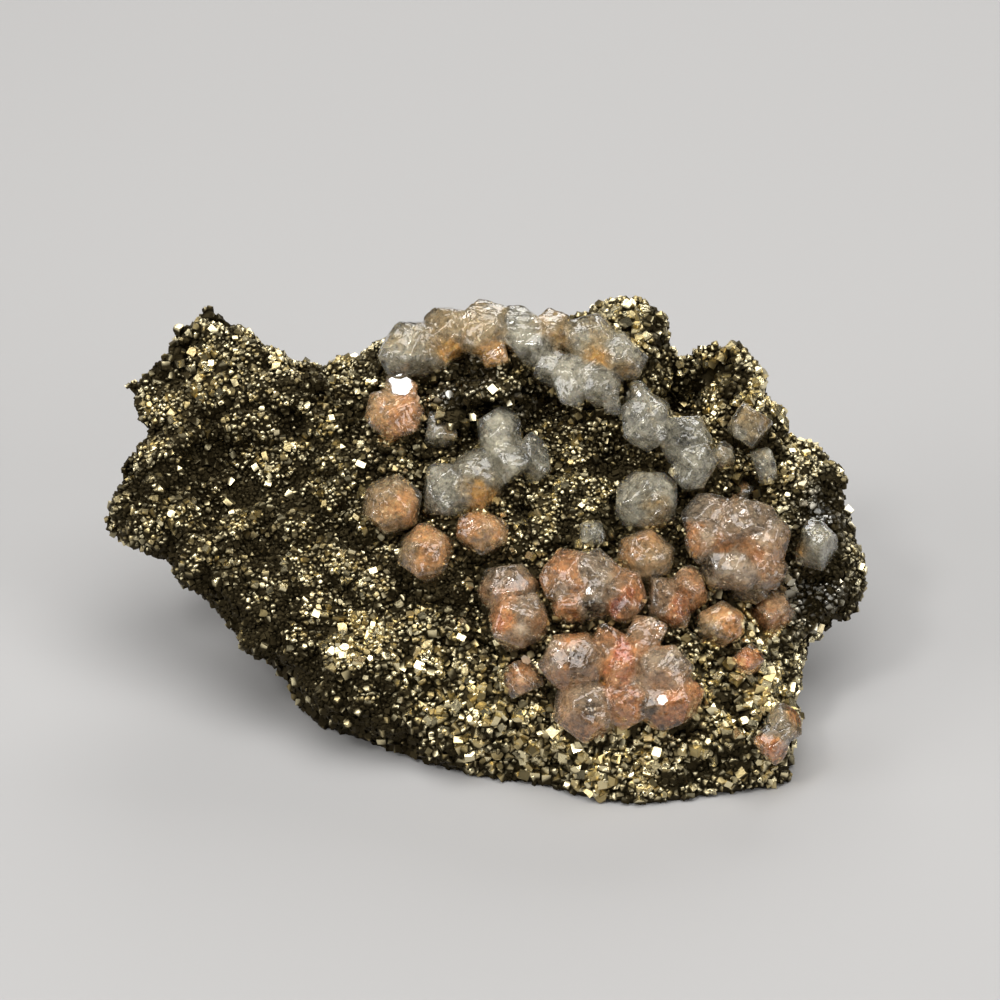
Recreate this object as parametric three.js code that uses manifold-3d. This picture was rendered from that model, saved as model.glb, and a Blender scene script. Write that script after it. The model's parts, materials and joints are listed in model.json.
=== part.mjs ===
// Fluorite with pyrite: a hand-sized mineral specimen.
// A lump of drusy pyrite leans back on a flat trimmed base, and glassy fluorite crystals sit in
// sockets on its face. Millimetres, +Z up, origin under the middle of the bounding box.
//
// The lump and the crystals are laid out in the frame of the leaning face: x runs across it,
// y runs up it and z stands out of it. One turn about X and one lift put them on the base.

import * as THREE from "three";
import { ConvexGeometry } from "three/addons/geometries/ConvexGeometry.js";
import { ImprovedNoise } from "three/addons/math/ImprovedNoise.js";
import { mergeVertices } from "three/addons/utils/BufferGeometryUtils.js";
import Module from "manifold-3d";

const wasm = await Module();
wasm.setup();

// Driving dimensions, in millimetres and radians.
const FACE_LEAN = THREE.MathUtils.degToRad(36);
const FACE_HEIGHT = 26;
const LOBE_BLEND = 3.2;
const HOLLOW_BLEND = 1.6;
const SKIN_DETAIL = 9;
const SKIN_CROWDING = new THREE.Vector3(1, 1.05, 1.5);
const CORE_CENTRE = new THREE.Vector3(-1, -3, -12);
const CORE_WIDTHS = new THREE.Vector3(40, 27, 13);
const ROUGH_LAYERS = [
  { pitch: 13, height: 1.1 },
  { pitch: 6.5, height: 0.9 },
  { pitch: 3.4, height: 0.45 },
];
const SKIN_REACH = 30;
const SOCKET_GAP = 0.3;
const CUBE_FACE_SHARE = 0.94;
const CORNER_FACE_SHARE = 0.96;
const FACE_UNEVENNESS = 0.07;
const SMALL_CRYSTAL = 7;
const SMALL_FACE_SHARE = 0.8;

// Lobes that merge into the lump: [x, y, z, half-width x, half-width y, half-width z].
const LOBES = [
  // the thick middle of the lump, behind the face
  [0, -4, -13, 34, 25, 15.5],
  [11.5, -15.5, -11.5, 24, 18.5, 14],
  [-25, 2.2, -12, 17.6, 13, 11],
  [4, 6, -20, 26, 16, 14],
  // the left end, from the top knob down
  [-35.6, 20, -3, 6.6, 6.4, 7],
  [-41.6, 12.4, -5, 6.6, 5.2, 6],
  [-42, 1, -6, 7.4, 7.6, 7],
  [-33.6, -6, -7, 7, 5.8, 6.4],
  [-28, 12.5, -2.5, 6, 5, 6],
  [-37, 6, -1, 3.8, 3, 3.6],
  // the lower edge, from left to right
  [-26, -12, -7, 7.4, 6.6, 6],
  [-15.5, -20.5, -6, 8.4, 7, 6],
  [0, -25.6, -7, 12, 7, 7],
  [17, -28.4, -7, 12, 7.8, 7.6],
  [27, -27, -7, 8.8, 7.6, 7.6],
  // the right end, from the bottom up
  [30.6, -19, -8, 7.2, 8, 8],
  [38.5, -6, -8, 7, 9.4, 8],
  [36.2, 4, -7.5, 6.8, 6.6, 7],
  [29.5, 11, -6, 6.4, 6, 7],
  [28.5, 17.8, -2.5, 4, 4.4, 5.5],
  // the top edge, from right to left
  [14.6, 20.5, -2, 7.8, 6.4, 8],
  [3, 19, -4, 10, 6.4, 7],
  [-8, 18.5, -3.5, 8, 5.6, 7],
  [-19, 15.5, -4.6, 12, 6.4, 8],
  // the ridge that crosses the face, and the dark knob under it
  [-10, 17.2, 0, 5, 3.6, 4],
  [-2, 19.5, 0.4, 5, 3.6, 4],
  [6.5, 17, 1, 4.6, 3.8, 4.2],
  [12, 13.4, 1.4, 4.4, 3.8, 4.2],
  [18, 8.8, -0.4, 4.8, 4, 4.2],
  [23.5, 3.8, -1.4, 4.6, 4, 4],
  [-3, 12.5, 2, 6, 4.2, 4.6],
  // swells under the crystal groups
  [15, -18.5, -1.5, 10, 9, 5],
  [27, -5.5, -2.5, 7, 6, 5],
  [-14, 5, -2, 8, 7, 4.4],
];

// Hollows that bite into the lump: [x, y, z, radius].
const HOLLOWS = [
  [-34, 4.5, 3, 3.6],
  [-31, 13.5, 4, 2.2],
  [-28.5, 8, 4, 2.6],
  [-48.6, 10, -3, 2.9],
  [4.8, 3.8, 3, 3.2],
  [13.5, 5.2, 2.4, 2.6],
  [-22, 20.5, 0, 4],
  [22.4, 21.5, 1, 3.6],
  [-30, -5.5, 3.4, 3.4],
  [-22, 3, 5, 3.6],
  [34.5, -0.5, 3, 3],
];

// Fluorite crystals. Those that grew into one another make one piece. Each crystal is
// [x, y, half-length, half-breadth, half-height, turn in degrees, stand-out of its centre above
// the lump].
const FLUORITES = {
  fluorite_ridge_left: { tint: "grey", crystals: [
    [-10.6, 17.5, 4.1, 2.6, 2.6, 32, 0.5],
    [-6.4, 19.5, 2.9, 3.1, 2.8, 0, 0.5],
    [-9, 16.6, 3, 1.4, 1.9, -12, 0.2],
    [-1.8, 19.6, 3.2, 3.1, 2.9, 0, 0.5],
    [-0.8, 17.2, 1.6, 2.1, 2, 0, 0.3],
    [3, 18.9, 4.1, 2.4, 2.7, -48, 0.5],
    [6.2, 19.6, 2.2, 2.5, 2.3, 10, 0.1],
    [11, 18.2, 3.3, 2.5, 2.6, -18, 0.3],
    [14.2, 16.3, 3.1, 2.2, 2.4, -38, 0.3],
    [6.4, 15.1, 2.2, 1.9, 2.1, -20, 0.4],
    [8.8, 13.4, 2.1, 3.1, 2.5, 8, 0.7],
    [11.6, 12.9, 2.9, 2, 2.3, -34, 0.4],
    [13.3, 11.1, 1, 1.8, 1.7, 8, 0.4],
  ] },
  fluorite_ridge_right: { tint: "grey", crystals: [
    [16.6, 12, 1.4, 1.2, 1.7, 0, 0.4],
    [17.5, 8.6, 2.7, 3.3, 2.8, 12, 0.6],
    [22.1, 6.6, 3, 2.7, 2.7, -25, 0.5],
    [23.2, 3.2, 2, 3.1, 2.4, -6, 0.5],
  ] },
  fluorite_ridge_bead: { tint: "grey", crystals: [[26.7, 5.4, 1.2, 1.5, 1.4, 0, 0.2]] },
  fluorite_orange_upper: { tint: "orange", crystals: [
    [-12, 12.5, 2.2, 1.6, 2.2, 12, 0.6],
    [-12.7, 10.2, 3.3, 3, 2.6, 0, 0.2],
  ] },
  fluorite_small_upper: { tint: "grey", crystals: [[-7.2, 8.8, 2, 2, 1.8, 0, 0.2]] },
  fluorite_centre_group: { tint: "grey", crystals: [
    [0, 7.8, 2.2, 3, 2.4, -4, 0.6],
    [1.1, 4.2, 1.8, 2.4, 2.2, 16, 0.5],
    [4, 5, 1.7, 3.1, 2, 22, 0.2],
    [-6.3, 0.6, 2.7, 3.3, 2.6, -14, 0.3],
    [-3.1, 1.8, 3.1, 3.5, 2.9, -22, 0.4],
  ] },
  fluorite_orange_core: { tint: "orange", crystals: [[-13, -1.3, 3.1, 3.2, 2.5, 0, 0.2]] },
  fluorite_orange_left: { tint: "orange", crystals: [[-8.9, -7.2, 2.8, 3.1, 2.3, -20, 0.2]] },
  fluorite_brown_centre: { tint: "orange", crystals: [[-2.2, -5, 3, 2.1, 2, -14, 0.1]] },
  fluorite_tiny_centre: { tint: "grey", crystals: [[10.9, -5.1, 1.4, 1.4, 1.3, 0, 0.1]] },
  fluorite_pale_large: { tint: "grey", crystals: [[17.6, -0.6, 3.5, 3.4, 2.9, 0, 0.4]] },
  fluorite_olive: { tint: "orange", crystals: [[17.3, -7.7, 3.1, 2.7, 2.5, -20, 0.2]] },
  fluorite_brown_right: { tint: "orange", crystals: [[28.3, 3.4, 2.6, 1.9, 2.2, -30, 0.3]] },
  fluorite_upper_right: { tint: "grey", crystals: [[30, 9.2, 2.2, 2.5, 2, 10, 0.1]] },
  fluorite_dark_sliver: { tint: "grey", crystals: [[31.9, 4.8, 1.2, 2.4, 1.7, 6, 0.1]] },
  fluorite_right_group: { tint: "pink", crystals: [
    [25, -2.8, 3.4, 2.1, 2.3, 14, 0.4],
    [29.2, -3.8, 3.7, 2.9, 2.7, 0, 0.4],
    [31.4, -5.6, 2.7, 3.1, 2.6, 18, 0.4],
    [24.8, -6, 2.8, 1.9, 2.3, 4, 0.6],
    [27.4, -9.2, 3.5, 2.2, 2.5, -10, 0.5],
    [31.6, -8.8, 2.2, 2.6, 2.4, 0, 0.4],
    [29.7, -10.5, 2.6, 1.6, 2.1, 8, 0.3],
  ] },
  fluorite_edge_right: { tint: "grey", crystals: [[37.8, -5.5, 1.7, 3.2, 2, 8, 0.1]] },
  fluorite_two_lobed: { tint: "pink", crystals: [
    [1, -12.1, 3.1, 2.9, 2.6, -10, 0.3],
    [2.3, -16.1, 3.1, 3.3, 2.7, 8, 0.4],
  ] },
  fluorite_large_pair: { tint: "pink", crystals: [
    [8.2, -11.1, 3.3, 3.2, 2.8, 0, 0.4],
    [11.2, -11.7, 3, 4, 3.1, 0, 0.5],
    [8.3, -14.2, 2.2, 1.9, 2.1, 0, 0.3],
    [14.7, -13.1, 2.1, 3, 2.4, -10, 0.3],
  ] },
  fluorite_pink_pair: { tint: "pink", crystals: [
    [19.1, -13.3, 1.6, 2.7, 2.1, 4, 0.3],
    [22.2, -11.9, 1.9, 2.7, 2.3, 0, 0.4],
    [20.5, -15, 1.8, 1.6, 1.7, 20, 0.3],
  ] },
  fluorite_orange_pink: { tint: "orange", crystals: [[26.2, -15.7, 2.6, 2.3, 2.2, 20, 0.2]] },
  fluorite_pink_right: { tint: "pink", crystals: [[32.6, -12.8, 2.4, 2.1, 2, 18, 0.2]] },
  fluorite_red_small: { tint: "orange", crystals: [[29.3, -20.3, 1.7, 1.5, 1.3, 20, 0.1]] },
  fluorite_lower_group: { tint: "pink", crystals: [
    [12.4, -19, 1.9, 2, 2.1, 10, 0.3],
    [8.7, -21.4, 3.6, 3, 2.8, -8, 0.4],
    [17, -18.3, 2.3, 2.2, 2.3, 0, 0.3],
    [14.2, -21.5, 2, 3.2, 2.3, 0, 0.2],
    [19, -22.1, 3.3, 2.8, 2.8, -8, 0.6],
    [19.9, -25.3, 3.7, 2.9, 2.7, 24, 0.3],
    [14.6, -25.7, 3.1, 2.6, 2.4, 0, 0.2],
    [10.2, -26.3, 3.5, 3.4, 2.8, 0, 0.3],
  ] },
  fluorite_pink_small: { tint: "pink", crystals: [[2.6, -22.7, 1.9, 2, 1.7, 0, 0.2]] },
  fluorite_corner: { tint: "orange", crystals: [
    [33.3, -27.6, 2.1, 1.8, 1.9, 30, 0.2],
    [32.3, -29.8, 1.5, 2.5, 1.8, -12, 0.1],
  ] },
};

const MATERIALS = {
  pyrite: new THREE.MeshStandardMaterial({ color: 0x9c8350, roughness: 0.4, metalness: 0.9 }),
  grey: new THREE.MeshStandardMaterial({ color: 0xb3b3a8, roughness: 0.3, metalness: 0 }),
  orange: new THREE.MeshStandardMaterial({ color: 0xc98a58, roughness: 0.3, metalness: 0 }),
  pink: new THREE.MeshStandardMaterial({ color: 0xbf8d84, roughness: 0.3, metalness: 0 }),
};

const noise = new ImprovedNoise();

function roughness(point) {
  let height = 0;
  for (const layer of ROUGH_LAYERS) {
    const { x, y, z } = point.clone().divideScalar(layer.pitch);
    height += layer.height * noise.noise(x, y, z);
  }
  return height;
}

function ellipsoidDistance(point, [x, y, z, a, b, c]) {
  const offset = point.clone().sub(new THREE.Vector3(x, y, z));
  const halfWidths = new THREE.Vector3(a, b, c);
  const scaled = offset.clone().divide(halfWidths);
  const slope = scaled.clone().divide(halfWidths).length();
  return scaled.length() * (scaled.length() - 1) / Math.max(slope, 1e-6);
}

function blendNearer(a, b, blend) {
  const overlap = Math.max(blend - Math.abs(a - b), 0);
  return Math.min(a, b) - overlap * overlap / (4 * blend);
}

// Distance from a point of the face frame to the skin of the lump, negative inside.
function lumpDistance(point) {
  let distance = Infinity;
  for (const lobe of LOBES) {
    const near = ellipsoidDistance(point, lobe);
    distance = distance === Infinity ? near : blendNearer(distance, near, LOBE_BLEND);
  }
  for (const [x, y, z, radius] of HOLLOWS) {
    const inside = radius - point.distanceTo(new THREE.Vector3(x, y, z));
    distance = -blendNearer(-distance, -inside, HOLLOW_BLEND);
  }
  return distance - roughness(point);
}

// The first point where a line that comes in from outside meets the lump.
function meetLump(start, direction) {
  const point = start.clone();
  for (let step = 0; step < 200; step += 1) {
    const distance = lumpDistance(point);
    if (distance < 0.01) {
      break;
    }
    point.addScaledVector(direction, distance * 0.6);
  }
  return point;
}

// The skin: every point of a sphere is stretched onto an inner ellipsoid, and goes out along
// that ellipsoid's normal to where the lump ends.
function lumpGeometry() {
  const sphere = new THREE.IcosahedronGeometry(1, SKIN_DETAIL);
  sphere.deleteAttribute("normal");
  sphere.deleteAttribute("uv");
  const skin = mergeVertices(sphere);
  const places = skin.attributes.position;
  for (let index = 0; index < places.count; index += 1) {
    const onSphere = new THREE.Vector3().fromBufferAttribute(places, index);
    onSphere.multiply(SKIN_CROWDING).normalize();
    const outward = onSphere.clone().divide(CORE_WIDTHS).normalize();
    const start = onSphere.multiply(CORE_WIDTHS).add(CORE_CENTRE);
    start.addScaledVector(outward, SKIN_REACH);
    const point = meetLump(start, outward.negate());
    places.setXYZ(index, point.x, point.y, point.z);
  }
  return skin;
}

const toBase = new THREE.Matrix4().makeTranslation(0, 0, FACE_HEIGHT)
  .multiply(new THREE.Matrix4().makeRotationX(FACE_LEAN));

function asSolid(geometry) {
  const bare = geometry.clone();
  bare.deleteAttribute("normal");
  bare.deleteAttribute("uv");
  const merged = mergeVertices(bare, 1e-4);
  return new wasm.Manifold(new wasm.Mesh({
    numProp: 3,
    vertProperties: new Float32Array(merged.attributes.position.array),
    triVerts: new Uint32Array(merged.index.array),
  }));
}

function asGeometry(solid) {
  const mesh = solid.getMesh();
  const geometry = new THREE.BufferGeometry();
  geometry.setAttribute("position", new THREE.BufferAttribute(mesh.vertProperties, 3));
  geometry.setIndex(new THREE.BufferAttribute(mesh.triVerts, 1));
  geometry.computeVertexNormals();
  return geometry;
}

// A repeatable number from 0 to 1 for each seed.
function chance(seed) {
  const wave = Math.sin(seed * 12.9898) * 43758.5453;
  return wave - Math.floor(wave);
}

// The outward directions of a crystal's faces: six of a cube, and one across each of its corners
// or, on a small crystal, across every other corner.
function faceDirections(small) {
  const directions = [];
  for (const side of [-1, 1]) {
    directions.push(new THREE.Vector3(side, 0, 0));
    directions.push(new THREE.Vector3(0, side, 0));
    directions.push(new THREE.Vector3(0, 0, side));
    for (const [y, z] of [[-1, -1], [-1, 1], [1, -1], [1, 1]]) {
      if (!small || side * y * z > 0) {
        directions.push(new THREE.Vector3(side, y, z).normalize());
      }
    }
  }
  return directions;
}

// The flat faces that bound a crystal of these half-widths, turned at random.
function crystalPlanes(halfWidths, seed) {
  const turn = new THREE.Euler(...[1, 2, 3].map((axis) => Math.PI * chance(seed + axis)));
  const small = halfWidths.x + halfWidths.y + halfWidths.z < SMALL_CRYSTAL;
  return faceDirections(small).map((direction, index) => {
    const corner = Math.abs(direction.x * direction.y) > 0;
    const unevenness = 1 + FACE_UNEVENNESS * (2 * chance(seed + 11 + index) - 1);
    const normal = direction.applyEuler(turn);
    const cubeShare = small ? SMALL_FACE_SHARE : CUBE_FACE_SHARE;
    const share = (corner ? CORNER_FACE_SHARE : cubeShare) * unevenness;
    return new THREE.Plane(normal, -share * normal.clone().multiply(halfWidths).length());
  });
}

function meetingPoint(a, b, c) {
  const bc = b.normal.clone().cross(c.normal);
  const volume = a.normal.dot(bc);
  if (Math.abs(volume) < 1e-3) {
    return null;
  }
  return bc.multiplyScalar(-a.constant)
    .addScaledVector(c.normal.clone().cross(a.normal), -b.constant)
    .addScaledVector(a.normal.clone().cross(b.normal), -c.constant)
    .divideScalar(volume);
}

// The closed body inside a set of planes, from the points where three of them meet.
function bodyInside(planes) {
  const corners = [];
  for (let i = 0; i < planes.length; i += 1) {
    for (let j = i + 1; j < planes.length; j += 1) {
      for (let k = j + 1; k < planes.length; k += 1) {
        const point = meetingPoint(planes[i], planes[j], planes[k]);
        if (point && planes.every((plane) => plane.distanceToPoint(point) < 1e-6)) {
          corners.push(point);
        }
      }
    }
  }
  return new ConvexGeometry(corners);
}

function crystalSolid([x, y, a, b, c, turn, standOut], seed, clearance) {
  const foot = meetLump(new THREE.Vector3(x, y, SKIN_REACH), new THREE.Vector3(0, 0, -1));
  const planes = crystalPlanes(new THREE.Vector3(a, b, c), seed);
  for (const plane of planes) {
    plane.constant -= clearance;
  }
  const body = bodyInside(planes).rotateZ(THREE.MathUtils.degToRad(turn));
  body.translate(x, y, foot.z + standOut);
  return asSolid(body.applyMatrix4(toBase));
}

function joined(solids) {
  return solids.reduce((whole, solid) => whole.add(solid));
}

function namedMesh(name, solid, material) {
  const mesh = new THREE.Mesh(asGeometry(solid), material);
  mesh.name = name;
  return mesh;
}

const specimen = new THREE.Group();
const aboveBase = asSolid(new THREE.BoxGeometry(200, 200, 100).translate(0, 0, 50));
let matrix = asSolid(lumpGeometry().applyMatrix4(toBase)).intersect(aboveBase);

let seed = 0;
for (const [name, { tint, crystals }] of Object.entries(FLUORITES)) {
  const firstSeed = seed;
  seed += 40 * crystals.length;
  const grown = (clearance) => joined(
    crystals.map((crystal, index) => crystalSolid(crystal, firstSeed + 40 * index, clearance)));
  specimen.add(namedMesh(name, grown(0), MATERIALS[tint]));
  matrix = matrix.subtract(grown(SOCKET_GAP));
}
specimen.add(namedMesh("pyrite_matrix", matrix, MATERIALS.pyrite));

// The origin goes under the middle of the bounding box, on the base.
const middle = new THREE.Box3().setFromObject(specimen, true).getCenter(new THREE.Vector3());
specimen.position.set(-middle.x, -middle.y, 0);

export default specimen;
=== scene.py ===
import json
import math
from functools import partial

import bmesh
import bpy
import numpy as np
from bpy.props import FloatProperty, FloatVectorProperty, IntProperty, PointerProperty
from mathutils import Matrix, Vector
from mathutils.bvhtree import BVHTree

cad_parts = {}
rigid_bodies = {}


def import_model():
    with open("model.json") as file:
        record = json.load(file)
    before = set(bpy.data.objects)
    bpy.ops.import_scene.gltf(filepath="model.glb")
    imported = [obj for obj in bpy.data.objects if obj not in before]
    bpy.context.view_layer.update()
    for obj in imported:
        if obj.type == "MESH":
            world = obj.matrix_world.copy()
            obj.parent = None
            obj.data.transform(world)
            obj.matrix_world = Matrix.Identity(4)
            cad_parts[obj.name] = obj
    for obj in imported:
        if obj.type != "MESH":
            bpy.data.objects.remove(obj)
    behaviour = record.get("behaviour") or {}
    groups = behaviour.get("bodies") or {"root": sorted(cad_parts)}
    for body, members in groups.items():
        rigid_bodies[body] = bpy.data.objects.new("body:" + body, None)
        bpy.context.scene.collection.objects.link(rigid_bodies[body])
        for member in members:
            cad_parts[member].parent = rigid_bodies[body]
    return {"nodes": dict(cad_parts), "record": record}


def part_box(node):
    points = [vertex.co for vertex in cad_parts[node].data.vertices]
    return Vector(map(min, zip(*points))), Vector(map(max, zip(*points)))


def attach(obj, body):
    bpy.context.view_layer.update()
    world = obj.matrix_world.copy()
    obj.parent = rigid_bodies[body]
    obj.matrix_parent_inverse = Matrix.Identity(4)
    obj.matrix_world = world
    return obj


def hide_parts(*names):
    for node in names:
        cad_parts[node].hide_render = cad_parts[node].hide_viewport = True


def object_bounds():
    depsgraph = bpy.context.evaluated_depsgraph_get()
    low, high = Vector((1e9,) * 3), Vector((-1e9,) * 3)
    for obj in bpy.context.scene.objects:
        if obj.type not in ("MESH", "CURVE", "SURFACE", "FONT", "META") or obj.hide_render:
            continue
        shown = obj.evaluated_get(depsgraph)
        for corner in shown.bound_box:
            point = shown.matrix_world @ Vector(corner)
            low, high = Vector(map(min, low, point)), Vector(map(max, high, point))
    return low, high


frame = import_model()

bl_info = {
    "name": "Fluorite with Pyrite",
    "version": (1, 0, 0),
    "blender": (4, 5, 0),
    "location": "View3D > Sidebar > Mineral",
    "description": "Grows a pyrite crust and fluorite crystals on a mineral specimen",
    "category": "Object",
}

MM = 0.001
CAD_LOW, CAD_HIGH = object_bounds()
LUMP_NODE = "pyrite_matrix"

# The face that carries the crystals leans back, and this is the direction it looks in.
FACE_LEAN = math.radians(36)
FACE_OUT = np.array([0.0, -math.sin(FACE_LEAN), math.cos(FACE_LEAN)])
FACE_UP = np.array([0.0, math.cos(FACE_LEAN), math.sin(FACE_LEAN)])

# The middle of the face, which places on it are measured from.
FACE_MIDDLE = np.array([2.07 * MM, -2.52 * MM, 26 * MM])

# Places on the face are measured as an eye sees them that looks 35 degrees down at it.
SIGHT_FALL = math.radians(35)
SIGHT_DISTANCE = 0.45
SIGHT = np.array([0.0, math.cos(SIGHT_FALL), -math.sin(SIGHT_FALL)])
SIGHT_UP = np.array([0.0, math.sin(SIGHT_FALL), math.cos(SIGHT_FALL)])

SLOTS = {row["node"]: row["material_slot"] for row in frame["record"]["subparts"]}
FLUORITE_NODES = sorted(name for name in frame["nodes"] if name.startswith("fluorite"))


# Settings that a user would change.

def length(name, description, millimetres):
    return FloatProperty(name=name, description=description, default=millimetres * MM,
                         unit="LENGTH", precision=5)


def angle(name, description, degrees):
    return FloatProperty(name=name, description=description, default=math.radians(degrees),
                         subtype="ANGLE")


def colour(name, description, default):
    return FloatVectorProperty(name=name, description=description, default=default,
                               subtype="COLOR", min=0, max=1)


class CrustSettings(bpy.types.PropertyGroup):
    voxel: length("Ground Detail", "Pitch of the mesh under the crust", 0.5)
    cluster: length("Cluster Size", "Width of the knots that the crust grew in", 4.2)
    cluster_depth: length("Cluster Depth", "Depth of the gaps between the knots", 1.5)
    inset: length("Crust Thickness", "How far the ground lies under the crystal tips", 0.42)
    root_depth: length("Root Depth", "How far a socket's wall reaches into its clear crystal", 0.5)
    fine_spacing: length("Fine Spacing", "Least distance between small crystals", 0.47)
    mid_spacing: length("Middle Spacing", "Least distance between middling crystals", 0.75)
    coarse_spacing: length("Coarse Spacing", "Least distance between large crystals", 1.25)
    back_spacing: length("Back Spacing", "Least distance between crystals on the back", 0.8)
    seed: IntProperty(name="Seed", description="Draw of the crystals' places", default=7)


class PyriteSettings(bpy.types.PropertyGroup):
    pale: colour("Pale Gold", "Colour of the brightest faces", (0.96, 0.84, 0.52))
    brass: colour("Brass", "Colour of the usual faces", (0.57, 0.45, 0.21))
    steel: colour("Steel", "Colour of the silvery patches", (0.36, 0.355, 0.33))
    # The ground colour is painted shade: the near-black of the ground and of the low, down-facing
    # and shaded parts of the crystals.
    ground: colour("Ground", "Colour of the dull pyrite between the crystals",
                   (0.048, 0.037, 0.018))


class FluoriteSettings(bpy.types.PropertyGroup):
    voxel: length("Crystal Detail", "Pitch of the crystal meshes", 0.14)
    swell: length("Swell", "How far a crystal fills the gap to its socket", 0.22)
    facet_turn: angle("Facet Turn", "Angle between one facet of a crystal and the next", 40)
    dimple: length("Dimple", "Width of the etched dimples on a facet", 1.5)
    ior: FloatProperty(name="IOR", description="Index of refraction", default=1.434)


class StudioSettings(bpy.types.PropertyGroup):
    elevation: angle("Camera Elevation", "Angle of the camera above the horizon", 35)
    distance: length("Camera Distance", "From the camera to the point it looks at", 450)
    view_width: length("View Width", "Width that the picture covers at the specimen", 120)
    key: FloatProperty(name="Key Light", description="Brightness of the small softbox",
                       default=20.0)
    panel: FloatProperty(name="Panels", description="Brightness of the large panels", default=3.8)
    room: FloatProperty(name="Room", description="Brightness of the room round about",
                        default=0.04)


class SpecimenSettings(bpy.types.PropertyGroup):
    crust: PointerProperty(type=CrustSettings)
    pyrite: PointerProperty(type=PyriteSettings)
    fluorite: PointerProperty(type=FluoriteSettings)
    studio: PointerProperty(type=StudioSettings)


def settings():
    return bpy.context.scene.specimen


# Node trees.

def new_tree(name, kind, inputs, outputs):
    """A node tree with its inputs and outputs, whose names are listed under their kinds."""
    tree = bpy.data.node_groups.new(name, kind)
    for side, sockets in (("INPUT", inputs), ("OUTPUT", outputs)):
        for socket_kind, labels in sockets.items():
            for label in labels.split(", "):
                tree.interface.new_socket(
                    label, in_out=side, socket_type="NodeSocket" + socket_kind)
    get = tree.nodes.new("NodeGroupInput").outputs
    give = tree.nodes.new("NodeGroupOutput").inputs
    return tree, get, give


def put(tree, socket, value):
    if isinstance(value, bpy.types.NodeSocket):
        tree.links.new(value, socket)
    else:
        socket.default_value = value


def fill(tree, node, sockets):
    """Links or sets some of a node's inputs."""
    for key, value in sockets.items():
        put(tree, node.inputs[key], value)


def add(tree, kind, sockets=None, **choices):
    """A node with its choices set and its inputs linked or filled in."""
    node = tree.nodes.new(kind)
    for key, value in choices.items():
        setattr(node, key, value)
    fill(tree, node, sockets or {})
    return node


def math_node(operation, tree, *values, clamp=False):
    node = add(tree, "ShaderNodeMath", dict(enumerate(values)), operation=operation)
    node.use_clamp = clamp
    return node.outputs[0]


plus = partial(math_node, "ADD")
minus = partial(math_node, "SUBTRACT")
times = partial(math_node, "MULTIPLY")
over = partial(math_node, "DIVIDE")
times_plus = partial(math_node, "MULTIPLY_ADD")
greatest = partial(math_node, "MAXIMUM")


def vector_node(operation, tree, *values):
    node = add(tree, "ShaderNodeVectorMath", dict(enumerate(values)), operation=operation)
    return node.outputs["Value" if operation == "DOT_PRODUCT" else "Vector"]


vector_plus = partial(vector_node, "ADD")
vector_minus = partial(vector_node, "SUBTRACT")
dot_product = partial(vector_node, "DOT_PRODUCT")


def scaled(tree, vector, factor):
    node = add(tree, "ShaderNodeVectorMath", {0: vector, "Scale": factor}, operation="SCALE")
    return node.outputs["Vector"]


def component(tree, vector, axis):
    return add(tree, "ShaderNodeSeparateXYZ", {0: vector}).outputs[axis]


def ramp_between(tree, value, low, high, to_low=0.0, to_high=1.0, shape="SMOOTHSTEP"):
    """What goes from to_low to to_high while value goes from low to high, then stays there."""
    return add(tree, "ShaderNodeMapRange", {
        "Value": value, "From Min": low, "From Max": high,
        "To Min": to_low, "To Max": to_high}, interpolation_type=shape).outputs["Result"]


def swayed(tree, value, noise_level, amount):
    """A value pushed up and down by a noise that runs from 0 to 1."""
    return times_plus(tree, minus(tree, noise_level, 0.5), amount, value)


def blended(tree, share, first, second):
    """A number between two others."""
    return add(tree, "ShaderNodeMix", {0: share, 2: first, 3: second},
               data_type="FLOAT").outputs[0]


def mixed(tree, share, first, second):
    """A colour between two others."""
    return add(tree, "ShaderNodeMix", {0: share, 6: first, 7: second},
               data_type="RGBA").outputs[2]


def noise(tree, place, scale, detail, roughness=0.5, distortion=0.0):
    return add(tree, "ShaderNodeTexNoise", {
        "Vector": place, "Scale": scale, "Detail": detail, "Roughness": roughness,
        "Distortion": distortion}).outputs


def cells(tree, place, scale):
    return add(tree, "ShaderNodeTexVoronoi", {"Vector": place, "Scale": scale}).outputs


def cell_direction(tree, cell):
    """A direction of its own for each cell."""
    return vector_minus(tree, cell["Color"], (0.5, 0.5, 0.5))


def cell_slope(tree, place, cell):
    """A height that slopes in each cell's own direction, and is nothing at its middle."""
    away = vector_minus(tree, place, cell["Position"])
    return dot_product(tree, away, cell_direction(tree, cell))


def random_between(tree, low, high, seed):
    return add(tree, "FunctionNodeRandomValue", {2: low, 3: high, "Seed": seed},
               data_type="FLOAT").outputs[1]


def named(tree, label):
    """A number stored on the mesh under a name."""
    return add(tree, "GeometryNodeInputNamedAttribute", {"Name": label},
               data_type="FLOAT").outputs[0]


def marked(tree, geometry, label, value):
    """A geometry with a number stored on it under a name."""
    return add(tree, "GeometryNodeStoreNamedAttribute", {
        "Geometry": geometry, "Name": label, "Value": value},
        data_type="FLOAT", domain="POINT").outputs[0]


def moved(tree, geometry, offset):
    return add(tree, "GeometryNodeSetPosition", {
        "Geometry": geometry, "Offset": offset}).outputs[0]


def painted(tree, geometry, smooth, material):
    shaded = add(tree, "GeometryNodeSetShadeSmooth", {
        "Geometry": geometry, "Shade Smooth": smooth}).outputs[0]
    return add(tree, "GeometryNodeSetMaterial", {
        "Geometry": shaded, "Material": material}).outputs[0]


# Meshes and pieces.

def merged_copy(node_name):
    """A new mesh of a CAD node with its loose triangles joined up."""
    source = bmesh.new()
    source.from_mesh(frame["nodes"][node_name].data)
    bmesh.ops.remove_doubles(source, verts=source.verts, dist=1e-6)
    mesh = bpy.data.meshes.new(node_name + "_copy")
    source.to_mesh(mesh)
    source.free()
    return mesh


def new_object(name, data):
    obj = bpy.data.objects.new(name, data)
    bpy.context.scene.collection.objects.link(obj)
    return obj


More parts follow.
